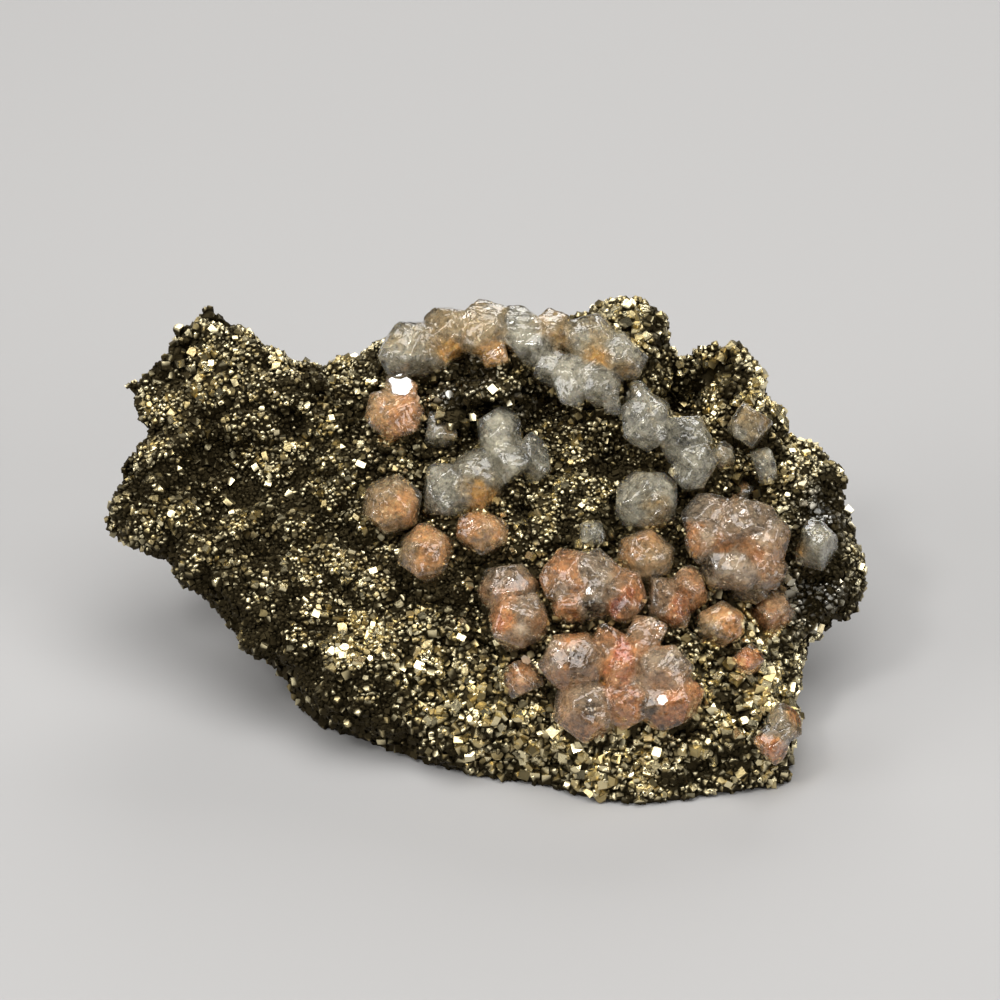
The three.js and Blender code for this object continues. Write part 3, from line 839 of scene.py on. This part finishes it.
class SPECIMEN_OT_ground(bpy.types.Operator):
    """Make the knotted ground that the pyrite crust grows on"""
    bl_idname = "specimen.ground"
    bl_label = "Pyrite Ground"

    def execute(self, context):
        crust = settings().crust
        thin_wall = 1.5 * MM
        front_depth = 9 * MM
        grown_in_sockets = 0.85
        ground = new_object("pyrite_ground", merged_copy(LUMP_NODE))
        add_remesh(ground, crust.voxel)
        mesh = finish_modifiers(ground)
        points, normals = vectors(mesh.vertices, "co"), vectors(mesh.vertex_normals, "vector")
        on_base = (points[:, 2] < 0.4 * MM) & (normals[:, 2] < -0.7)
        points[on_base, 2] = 0
        mesh.vertices.foreach_set("co", points.ravel())
        socket = under_fluorite(points) & under_fluorite(points + normals * crust.root_depth)
        above = np.clip((points[:, 2] - 0.2 * MM) / (0.3 * MM), 0, 1)
        depth = thickness(mesh)
        facing = (normals @ FACE_OUT > -0.2) | (depth < thin_wall)
        front = ((points - FACE_MIDDLE) @ FACE_OUT > -front_depth) & facing
        grow = np.where(on_base, 0, above * np.where(socket, grown_in_sockets, 1))
        # The pits and the band where the crust turns under are darkened with painted shade later,
        # in the relief.
        for name, values in (
            ("socket", socket), ("thickness", depth), ("pit", nearness(points, PITS) * front),
            ("dull", 0.7 * nearness(points, DULL_AND_SHADED_SPOTS)),
            ("coarse", nearness(points, COARSE_SPOTS)), ("front", front), ("grow", grow),
            ("steel", nearness(points, STEEL_SPOTS)), ("tone", np.zeros(len(points))),
            ("tip", np.zeros(len(points))),
        ):
            store(mesh, name, values)
        add_nodes(ground, "relief", relief_tree(), {
            "Cluster Size": crust.cluster, "Cluster Depth": crust.cluster_depth,
            "Inset": crust.inset, "Root Depth": crust.root_depth})
        mesh = finish_modifiers(ground)
        mesh.shade_smooth()
        give_material(mesh, "pyrite_dull")
        keep(ground, "pyrite", LUMP_NODE)
        return {"FINISHED"}


# The crust of pyrite crystals.

def convex_form(name, half_widths, cuts):
    """A box trimmed by planes. Each cut is a direction and a distance from the middle."""
    shape = bmesh.new()
    bmesh.ops.create_cube(shape, size=2)
    bmesh.ops.scale(shape, vec=half_widths, verts=shape.verts)
    for direction, distance in cuts:
        normal = Vector(direction).normalized()
        bmesh.ops.bisect_plane(
            shape, geom=shape.verts[:] + shape.edges[:] + shape.faces[:], dist=1e-6,
            plane_co=normal * distance, plane_no=normal, clear_outer=True)
        open_edges = [edge for edge in shape.edges if edge.is_boundary]
        if open_edges:
            bmesh.ops.contextual_create(shape, geom=open_edges)
    bmesh.ops.recalc_face_normals(shape, faces=shape.faces)
    mesh = bpy.data.meshes.new(name)
    shape.to_mesh(mesh)
    shape.free()
    return mesh


def corner_cuts(distance, step):
    corners = [(x, y, z) for x in (-1, 1) for y in (-1, 1) for z in (-1, 1)]
    return [(corner, distance + step * math.sin(2.3 * index))
            for index, corner in enumerate(corners)]


def pyritohedron_cuts(distance):
    cuts = []
    for a in (-2, 2):
        for b in (-1, 1):
            cuts += [((a, b, 0), distance), ((0, a, b), distance), ((b, 0, a), distance)]
    return cuts


def crystal_forms():
    """The habits that the crust's crystals have, as objects in a collection of their own."""
    forms = bpy.data.collections.new("pyrite_forms")
    bpy.context.scene.collection.children.link(forms)
    for name, half_widths, cuts in (
        ("form_a_cube", (1, 0.9, 0.8), []),
        ("form_b_slab", (1.1, 0.95, 0.65), []),
        ("form_c_chipped", (1, 0.95, 0.9), corner_cuts(1.3, 0.05)[:2]),
        ("form_d_trimmed", (1, 0.94, 0.9), corner_cuts(1.25, 0.08)[::2]),
        ("form_e_cubo", (1, 1, 0.92), corner_cuts(1.16, 0.06)),
        ("form_f_pyritohedron", (1.1, 1.1, 1.1), pyritohedron_cuts(0.98)),
    ):
        obj = bpy.data.objects.new(name, convex_form(name, half_widths, cuts))
        obj.data.materials.append(bpy.data.materials["pyrite_crystals"])
        forms.objects.link(obj)
    return forms


def crust_tree():
    """Scatters crystals over the ground, each with a tone, a turn, a size and a habit drawn."""
    tree, get, give = new_tree(
        "crystal_crust", "GeometryNodeTree",
        {"Geometry": "Geometry", "Collection": "Forms", "Material": "Material",
         "Float": "Spacing, Smallest, Largest, Coarse Gain, Coarse Loss, Coarse Only, "
                  "Front Share, Back Share, From X, To X",
         "Int": "Most Habits, Seed", "Bool": "Worn"},
        {"Geometry": "Geometry"})
    position = add(tree, "GeometryNodeInputPosition").outputs[0]
    coarse = named(tree, "coarse")

    across = component(tree, position, "X")
    inside = times(tree, math_node("GREATER_THAN", tree, across, get["From X"]),
                   math_node("LESS_THAN", tree, across, get["To X"]))
    share = times(tree, inside, named(tree, "grow"))
    for factor in (
        blended(tree, named(tree, "front"), get["Back Share"], get["Front Share"]),
        blended(tree, get["Coarse Only"], 1.0, coarse),
        minus(tree, 1.0, times(tree, coarse, get["Coarse Loss"])),
    ):
        share = times(tree, share, factor)
    density = over(tree, 2.5, times(tree, get["Spacing"], get["Spacing"]))
    scatter = add(tree, "GeometryNodeDistributePointsOnFaces", {
        "Mesh": get["Geometry"], "Distance Min": get["Spacing"], "Density Max": density,
        "Density Factor": share, "Seed": get["Seed"]}, distribute_method="POISSON").outputs

    pick = math_node("POWER", tree, random_between(tree, 0.0, 1.0, get["Seed"]), 1.8)
    size = ramp_between(tree, pick, 0.0, 1.0, get["Smallest"], get["Largest"], "LINEAR")
    size = times(tree, size, times_plus(tree, coarse, get["Coarse Gain"], 1.0))
    lift = random_between(tree, -0.35, 0.3, plus(tree, get["Seed"], 1.0))
    lift = scaled(tree, scatter["Normal"], times(tree, size, lift))
    tone = random_between(tree, 0.0, 1.0, plus(tree, get["Seed"], 2.0))
    points = marked(tree, moved(tree, scatter["Points"], lift), "tone", tone)
    turn = add(tree, "FunctionNodeRandomValue", {
        0: (0.0, 0.0, 0.0), 1: (math.tau, math.tau, math.tau),
        "Seed": plus(tree, get["Seed"], 3.0)}, data_type="FLOAT_VECTOR").outputs[0]
    habit = add(tree, "FunctionNodeRandomValue", {
        4: 0, 5: get["Most Habits"], "Seed": plus(tree, get["Seed"], 4.0)},
        data_type="INT").outputs[2]
    forms = add(tree, "GeometryNodeCollectionInfo", {
        "Collection": get["Forms"], "Separate Children": True, "Reset Children": True})
    placed = add(tree, "GeometryNodeInstanceOnPoints", {
        "Points": points, "Instance": forms.outputs[0], "Pick Instance": True,
        "Instance Index": habit, "Rotation": turn, "Scale": size})
    crystals = add(tree, "GeometryNodeRealizeInstances", {"Geometry": placed.outputs[0]})

    # A point's tip is how far it stands out of the ground, less what looks down or lies in a gap, a
    # pit or the underside band; a low tip takes painted shade.
    ground = add(tree, "GeometryNodeProximity", {"Geometry": get["Geometry"]},
                 target_element="FACES")
    upward = component(tree, add(tree, "GeometryNodeInputNormal").outputs[0], "Z")
    stood_out = over(tree, ground.outputs["Distance"], 0.55 * MM)
    stood_out = minus(tree, stood_out, ramp_between(tree, upward, -0.3, 0.45, 0.6, 0.0))
    tip = times_plus(tree, named(tree, "shade"), -0.75, stood_out)
    put(tree, give["Geometry"], painted(
        tree, marked(tree, crystals.outputs[0], "tip", tip), get["Worn"], get["Material"]))
    return tree


class SPECIMEN_OT_crust(bpy.types.Operator):
    """Grow the crust of small pyrite crystals over the ground"""
    bl_idname = "specimen.crust"
    bl_label = "Pyrite Crust"

    def execute(self, context):
        crust = settings().crust
        forms = crystal_forms()
        tree = crust_tree()
        ground = bpy.data.objects["pyrite_ground"].data
        middle = 4 * MM
        ends = [CAD_LOW.x - MM, -18 * MM, middle, 22 * MM, CAD_HIGH.x + MM]
        west, east = ends[0], ends[-1]
        usual = {"Front Share": 1.0, "Back Share": 0.0, "Coarse Only": 0.0, "Worn": False,
                 "Coarse Loss": 0.0, "Most Habits": 5, "Forms": forms,
                 "Material": bpy.data.materials["pyrite_crystals"]}
        fine = {"Spacing": crust.fine_spacing, "Smallest": 0.18 * MM, "Largest": 0.38 * MM,
                "Coarse Gain": 0.4, "Coarse Loss": 0.5, "Most Habits": 2, "Worn": True}
        mid = {"Spacing": crust.mid_spacing, "Smallest": 0.28 * MM, "Largest": 0.52 * MM,
               "Coarse Gain": 0.3, "Front Share": 0.9}
        coarse = {"Spacing": crust.coarse_spacing, "Smallest": 0.4 * MM, "Largest": 0.62 * MM,
                  "Coarse Gain": 0.2, "Coarse Only": 1.0}
        back = {"Spacing": crust.back_spacing, "Smallest": 0.28 * MM, "Largest": 0.6 * MM,
                "Coarse Gain": 0.2, "Front Share": 0.0, "Back Share": 1.0, "Most Habits": 3}
        layers = [(f"pyrite_fine_{n}", fine, *ends[n:n + 2]) for n in range(len(ends) - 1)]
        layers += [
            ("pyrite_middling_left", mid, west, middle),
            ("pyrite_middling_right", mid, middle, east),
            ("pyrite_coarse", coarse, west, east),
            ("pyrite_back", back, west, east),
        ]
        for index, (name, numbers, from_x, to_x) in enumerate(layers):
            piece = new_object(name, ground.copy())
            add_nodes(piece, "grow", tree, {
                **usual, **numbers, "From X": from_x, "To X": to_x,
                "Seed": crust.seed + 10 * index})
            mesh = finish_modifiers(piece)
            points = vectors(mesh.vertices, "co")
            points[:, 2] = np.maximum(points[:, 2], 0)
            mesh.vertices.foreach_set("co", points.ravel())
            for spent in ("coarse", "dull", "front", "grow", "pit", "shade", "socket", "thickness"):
                mesh.attributes.remove(mesh.attributes[spent])
            keep(piece, "pyrite")
        for form in list(forms.objects):
            bpy.data.objects.remove(form)
        bpy.data.collections.remove(forms)
        return {"FINISHED"}


# The fluorite crystals.

def growth_tree():
    """Rounds a crystal, then cuts it into the flat facets and etched dimples that it grew."""
    tree, get, give = new_tree(
        "crystal_growth", "GeometryNodeTree",
        {"Geometry": "Geometry", "Int": "Rounding", "Material": "Material",
         "Float": "Swell, Radius, Facet Turn, Dimple, Dimple Slope, Ripple, Seed"},
        {"Geometry": "Geometry"})
    place = add(tree, "GeometryNodeInputPosition").outputs[0]
    blurred = add(tree, "GeometryNodeBlurAttribute", data_type="FLOAT_VECTOR")
    fill(tree, blurred, {"Value": place, "Iterations": get["Rounding"]})
    rounded = add(tree, "GeometryNodeSetPosition", {
        "Geometry": get["Geometry"], "Position": blurred.outputs[0]}).outputs[0]
    normal = add(tree, "GeometryNodeInputNormal").outputs[0]

    # A surface raised by the squared distance to random directions is flat round each of them.
    turns = over(tree, 1.0, get["Facet Turn"])
    look = vector_plus(tree, scaled(tree, normal, turns),
                       scaled(tree, (1.0, 1.0, 1.0), get["Seed"]))
    spread = math_node("POWER", tree, cells(tree, look, 1.0)["Distance"], 2.0)
    half_angle = times(tree, math_node("POWER", tree, get["Facet Turn"], 2.0), 0.5)
    rise = times(tree, minus(tree, spread, 0.35), times(tree, half_angle, get["Radius"]))

    dimple = cells(tree, place, over(tree, 1.0, get["Dimple"]))
    dimples = times(tree, cell_slope(tree, place, dimple), get["Dimple Slope"])
    ripple = minus(tree, noise(tree, place, 330.0, 1.0)["Fac"], 0.5)
    wave = times(tree, ripple, get["Ripple"])
    outward = plus(tree, plus(tree, rise, wave), plus(tree, dimples, get["Swell"]))
    put(tree, give["Geometry"], painted(
        tree, moved(tree, rounded, scaled(tree, normal, outward)), True, get["Material"]))
    return tree


def grown_piece(name, node_name, voxel, tree, numbers):
    """A CAD crystal with an even mesh, grown by the tree."""
    piece = new_object(name, merged_copy(node_name))
    add_remesh(piece, voxel)
    add_nodes(piece, "grow", tree, numbers)
    finish_modifiers(piece)
    return piece


def polish(mesh):
    """Cuts the large flat faces into a crystal, each with six sides."""
    turns = (0.3, 0.3 + math.pi / 3, 0.3 + math.tau / 3)
    points = vectors(mesh.vertices, "co").astype(float)
    normals = vectors(mesh.vertex_normals, "vector")
    window = np.zeros(len(points))
    across, up = on_face(points)
    for x, y, half_width, facing in WINDOWS:
        outward = np.array(facing) / np.linalg.norm(facing)
        away = [np.abs((across - x * MM) * math.cos(turn) + (up - y * MM) * math.sin(turn))
                for turn in turns]
        inside = (np.max(away, axis=0) < half_width * MM) & (normals @ outward > 0.2)
        if inside.any():
            height = points @ outward
            raised = np.percentile(height[inside], 35) - height
            points += np.where(inside, raised, 0)[:, None] * outward
            window[inside] = 1
    mesh.vertices.foreach_set("co", points.ravel())
    store(mesh, "window", window)


def averaged(values, ends, rounds):
    """Values blended with those of the points next to them, some number of times."""
    count = np.bincount(ends.ravel(), minlength=len(values))
    for _ in range(rounds):
        total = [np.bincount(ends[:, 0], column[ends[:, 1]], len(values)) +
                 np.bincount(ends[:, 1], column[ends[:, 0]], len(values)) for column in values.T]
        values = np.array(total).T / count[:, None]
    return values


def creases(mesh):
    """Marks the grooves between crystals that have grown together, and their raised edges: the
    grooves get painted shade and the edges a painted highlight.
    """
    points = vectors(mesh.vertices, "co").astype(float)
    ends = np.empty(len(mesh.edges) * 2, np.int32)
    mesh.edges.foreach_get("vertices", ends)
    ends = ends.reshape(-1, 2)
    bend = averaged(points, ends, 10) - points
    below = np.sum(bend * vectors(mesh.vertex_normals, "vector"), axis=1)
    below = averaged(below[:, None], ends, 2)[:, 0]
    store(mesh, "groove", np.clip((below - 0.01 * MM) / (0.07 * MM), 0, 1))
    store(mesh, "edge", np.clip((-below - 0.06 * MM) / (0.06 * MM), 0, 1))


def colour_zones(mesh):
    """Marks how warm and how milky a mesh is, and gives all its faces one painted facet shade."""
    points = vectors(mesh.vertices, "co")
    milk = 0.5 + 0.5 * nearness(points, MILKY_SPOTS) - 0.8 * nearness(points, CLEAR_SPOTS)
    store(mesh, "sector", np.full(len(points), 0.4))
    store(mesh, "stain", stains(points))
    store(mesh, "milk", np.clip(milk, 0, 1))


def facet_shades(mesh, node_name):
    """Gives each part a painted shade, lighter or darker by the direction of the flat face nearest
    to it.
    """
    wave = np.array([11.0, 17.0, 23.0])  # Uneven, to give each direction a shade of its own.
    faces = cad_surface(node_name)
    facing = np.array([faces.find_nearest(v.co)[1] for v in mesh.vertices])
    store(mesh, "sector", 0.5 + 0.5 * np.sin(facing @ wave))


class SPECIMEN_OT_fluorite(bpy.types.Operator):
    """Grow the clear fluorite crystals in their sockets"""
    bl_idname = "specimen.fluorite"
    bl_label = "Fluorite Crystals"

    def execute(self, context):
        look = settings().fluorite
        tree = growth_tree()
        for index, name in enumerate(FLUORITE_NODES):
            slot = SLOTS[name]
            piece = grown_piece(name + "_crystal", name, look.voxel, tree, {
                "Rounding": 1, "Swell": look.swell, "Radius": 0.5 * MM,
                "Facet Turn": look.facet_turn, "Dimple": look.dimple,
                "Dimple Slope": 0.12, "Ripple": 0.15 * MM, "Seed": 7.3 * index,
                "Material": bpy.data.materials["clear_" + slot]})
            polish(piece.data)
            colour_zones(piece.data)
            creases(piece.data)
            facet_shades(piece.data, name)
            keep(piece, slot, name)
        return {"FINISHED"}


# What is sealed in the crystals.

def plate_tree():
    """Scatters thin cleavage plates under the skin of the crystals, in a few set directions."""
    tree, get, give = new_tree(
        "cleavage_plates", "GeometryNodeTree",
        {"Geometry": "Geometry", "Float": "Density, Shallowest, Deepest, Smallest, Largest",
         "Material": "Material", "Int": "Seed"},
        {"Geometry": "Geometry"})
    scatter = add(tree, "GeometryNodeDistributePointsOnFaces", {
        "Mesh": get["Geometry"], "Density": get["Density"], "Seed": get["Seed"]}).outputs
    skin = scatter["Normal"]

    # A plate looks out of one face of an octahedron, turned as the crystal round it is.
    draw = add(tree, "FunctionNodeRandomValue", {"Seed": get["Seed"]},
               data_type="FLOAT_VECTOR").outputs[0]
    octahedral = vector_node("SIGN", tree, vector_minus(tree, draw, (0.5, 0.5, -1.0)))
    place = add(tree, "GeometryNodeInputPosition").outputs[0]
    turned = cell_direction(tree, cells(tree, place, 140.0))
    facing = vector_node("NORMALIZE", tree, vector_plus(
        tree, octahedral, scaled(tree, turned, 1.8)))

    # The nearer it lies to the skin, the smaller it is, so that it stays inside.
    flatness = math_node("ABSOLUTE", tree, dot_product(tree, facing, skin))
    slope = math_node("SQRT", tree, minus(tree, 1.0, times(tree, flatness, flatness)))
    depth = random_between(tree, get["Shallowest"], get["Deepest"], plus(tree, get["Seed"], 1.0))
    room = over(tree, depth, greatest(tree, slope, 0.3))
    size = random_between(tree, get["Smallest"], get["Largest"], plus(tree, get["Seed"], 2.0))
    size = math_node("MINIMUM", tree, times(tree, room, 0.75), size)
    narrow = random_between(tree, 0.35, 1.0, plus(tree, get["Seed"], 3.0))
    sizes = add(tree, "ShaderNodeCombineXYZ", {
        "X": size, "Y": times(tree, size, narrow), "Z": size})

    sunk = moved(tree, scatter["Points"], scaled(tree, skin, times(tree, depth, -1.0)))
    plate = add(tree, "GeometryNodeMeshCylinder", {
        "Vertices": 6, "Radius": 1.0, "Depth": 0.05}, fill_type="NGON")
    laid = add(tree, "FunctionNodeAlignRotationToVector", {"Vector": facing}, axis="Z")
    placed = add(tree, "GeometryNodeInstanceOnPoints", {
        "Points": sunk, "Instance": plate.outputs["Mesh"],
        "Rotation": laid.outputs[0], "Scale": sizes.outputs[0]})
    plates = add(tree, "GeometryNodeRealizeInstances", {"Geometry": placed.outputs[0]})
    put(tree, give["Geometry"], painted(tree, plates.outputs[0], False, get["Material"]))
    return tree


def joined(name, meshes):
    """One new object of several meshes, which are used up."""
    whole = bmesh.new()
    for mesh in meshes:
        whole.from_mesh(mesh)
    mesh = bpy.data.meshes.new(name)
    whole.to_mesh(mesh)
    whole.free()
    for used in meshes:
        bpy.data.meshes.remove(used)
    return new_object(name, mesh)


def shells(slot, layer, depth, ripple):
    """Rough shells inside the crystals of one colour, at a depth under their skin, as a piece."""
    tree = bpy.data.node_groups["crystal_growth"]
    voxel = 0.3 * MM
    most_inset = 0.22
    meshes = []
    for index, name in enumerate(name for name in FLUORITE_NODES if SLOTS[name] == slot):
        low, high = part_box(name)
        inset = min(depth, most_inset * min(high - low))
        shell = grown_piece("shell", name, voxel, tree, {
            "Rounding": 5, "Swell": -inset, "Radius": 2 * MM, "Facet Turn": 0.5,
            "Dimple": 1.3 * MM, "Dimple Slope": 0.6, "Ripple": ripple,
            "Seed": 5.1 * index, "Material": bpy.data.materials[f"{slot}_{layer}"]})
        polish(shell.data)
        meshes.append(shell.data)
        bpy.data.objects.remove(shell)
    piece = joined(f"{slot}_{layer}s", meshes)
    give_material(piece.data, f"{slot}_{layer}")
    piece.data.shade_smooth()
    colour_zones(piece.data)
    keep(piece, slot)
    return piece


def cleavage_plates(slot, veils, tree):
    """Plates in the crystals of one colour, from their veils inwards, as a piece."""
    piece = new_object(slot + "_plates", veils.data.copy())
    add_nodes(piece, "plates", tree, {
        "Density": 1.5e6, "Shallowest": 0.1 * MM, "Deepest": 1.3 * MM,
        "Smallest": 0.25 * MM, "Largest": 1.2 * MM, "Seed": 3,
        "Material": bpy.data.materials[slot + "_plate"]})
    mesh = finish_modifiers(piece)
    give_material(mesh, slot + "_plate")
    colour_zones(mesh)
    keep(piece, slot)


class SPECIMEN_OT_phantoms(bpy.types.Operator):
    """Seal veils, cleavage plates and clouds of orange and red grains in the fluorite"""
    bl_idname = "specimen.phantoms"
    bl_label = "Veils, Plates and Cores"

    def execute(self, context):
        tree = plate_tree()
        for slot in sorted({SLOTS[name] for name in FLUORITE_NODES}):
            veils = shells(slot, "veil", 0.3 * MM, 0.4 * MM)
            cleavage_plates(slot, veils, tree)
            shells(slot, "core", 1.1 * MM, 1.2 * MM)
        return {"FINISHED"}


# The stage.

def softbox(name, place, target, width, height, brightness):
    light = bpy.data.lights.new(name, "AREA")
    light.shape = "RECTANGLE"
    light.size = width
    light.size_y = height
    light.energy = brightness * math.pi * width * height
    lamp = new_object(name, light)
    lamp.location = place
    lamp.rotation_euler = (Vector(target) - Vector(place)).to_track_quat("-Z", "Y").to_euler()


class SPECIMEN_OT_stage(bpy.types.Operator):
    """Set up the floor, the softboxes and the camera"""
    bl_idname = "specimen.stage"
    bl_label = "Stage"

    def execute(self, context):
        studio = settings().studio
        tree, shader = new_material("floor")
        fill(tree, shader, {"Base Color": (0.52, 0.51, 0.5, 1), "Roughness": 0.9})
        shape = bmesh.new()
        bmesh.ops.create_grid(shape, x_segments=1, y_segments=1, size=3)
        mesh = bpy.data.meshes.new("floor")
        shape.to_mesh(mesh)
        shape.free()
        give_material(mesh, "floor")
        floor = new_object("floor", mesh)

        target = tuple(FACE_MIDDLE)
        softbox("key", (-0.28, -0.3, 0.6), target, 0.13, 0.13, studio.key)
        softbox("panel_top", (0.06, -0.1, 0.66), target, 0.6, 0.45, studio.panel)
        softbox("panel_back", (0.1, 0.55, 0.4), target, 0.5, 0.3, studio.panel)
        softbox("panel_left", (-0.62, -0.25, 0.32), target, 0.35, 0.45, studio.panel)
        softbox("panel_right", (0.55, -0.4, 0.35), target, 0.3, 0.4, studio.panel)

        world = bpy.data.worlds.new("studio")
        world.use_nodes = True
        sky = world.node_tree.nodes["Background"]
        fill(world.node_tree, sky, {"Color": (1, 1, 1, 1), "Strength": studio.room})
        context.scene.world = world
        context.scene.view_settings.view_transform = "Standard"

        lens = bpy.data.cameras.new("camera")
        lens.lens = lens.sensor_width * studio.distance / studio.view_width
        lens.clip_start = 0.01
        lens.clip_end = 20
        camera = new_object("camera", lens)
        back = Vector((0, -math.cos(studio.elevation), math.sin(studio.elevation)))
        camera.location = Vector(target) + back * studio.distance
        camera.rotation_euler = (-back).to_track_quat("-Z", "Y").to_euler()
        context.scene.camera = camera
        return {"FINISHED"}


class SPECIMEN_PT_panel(bpy.types.Panel):
    bl_label = "Fluorite with Pyrite"
    bl_idname = "SPECIMEN_PT_panel"
    bl_space_type = "VIEW_3D"
    bl_region_type = "UI"
    bl_category = "Mineral"

    def draw(self, context):
        for group in ("crust", "pyrite", "fluorite", "studio"):
            box = self.layout.box()
            box.label(text=group.capitalize())
            holder = getattr(context.scene.specimen, group)
            for key in holder.bl_rna.properties.keys():
                if key not in ("rna_type", "name"):
                    box.prop(holder, key)
        for operator in STEPS:
            self.layout.operator(operator.bl_idname)


STEPS = (SPECIMEN_OT_materials, SPECIMEN_OT_ground, SPECIMEN_OT_crust, SPECIMEN_OT_fluorite,
         SPECIMEN_OT_phantoms, SPECIMEN_OT_stage)
GROUPS = (CrustSettings, PyriteSettings, FluoriteSettings, StudioSettings, SpecimenSettings)


def register():
    for cls in (*GROUPS, *STEPS, SPECIMEN_PT_panel):
        bpy.utils.register_class(cls)
    bpy.types.Scene.specimen = PointerProperty(type=SpecimenSettings)


def unregister():
    del bpy.types.Scene.specimen
    for cls in reversed((*GROUPS, *STEPS, SPECIMEN_PT_panel)):
        bpy.utils.unregister_class(cls)


def main():
    register()
    bpy.ops.specimen.materials()
    bpy.ops.specimen.ground()
    bpy.ops.specimen.crust()
    bpy.ops.specimen.fluorite()
    bpy.ops.specimen.phantoms()
    bpy.ops.specimen.stage()


if __name__ == "__main__":
    main()
